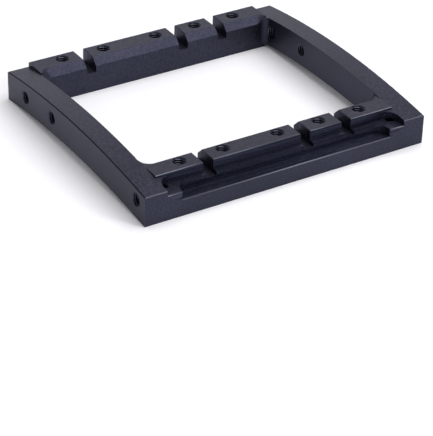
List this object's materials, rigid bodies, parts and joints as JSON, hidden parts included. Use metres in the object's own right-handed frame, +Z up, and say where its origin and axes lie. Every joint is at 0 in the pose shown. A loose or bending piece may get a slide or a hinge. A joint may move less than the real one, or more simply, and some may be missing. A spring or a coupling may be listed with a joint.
{
  "type": "servo bracket",
  "caption": "Rectangular servo bracket with arched side bars, slotted cross rails with tapped lug holes, one stepped rail and tapped holes in its sides.",
  "frame": {"origin": "middle of the footprint, on the surface that the frame lies on", "axes": "+X along the cross rails, +Y from the stepped rail to the plain one, +Z up, the side that the servo's lugs sit on"},
  "size_m": [0.0666, 0.0584, 0.0087],
  "materials": {
    "anodised_aluminium": "black anodised, fine satin grain"
  },
  "bodies": {
    "root": {"servo_bracket": "anodised_aluminium"}
  },
  "joints": []
}
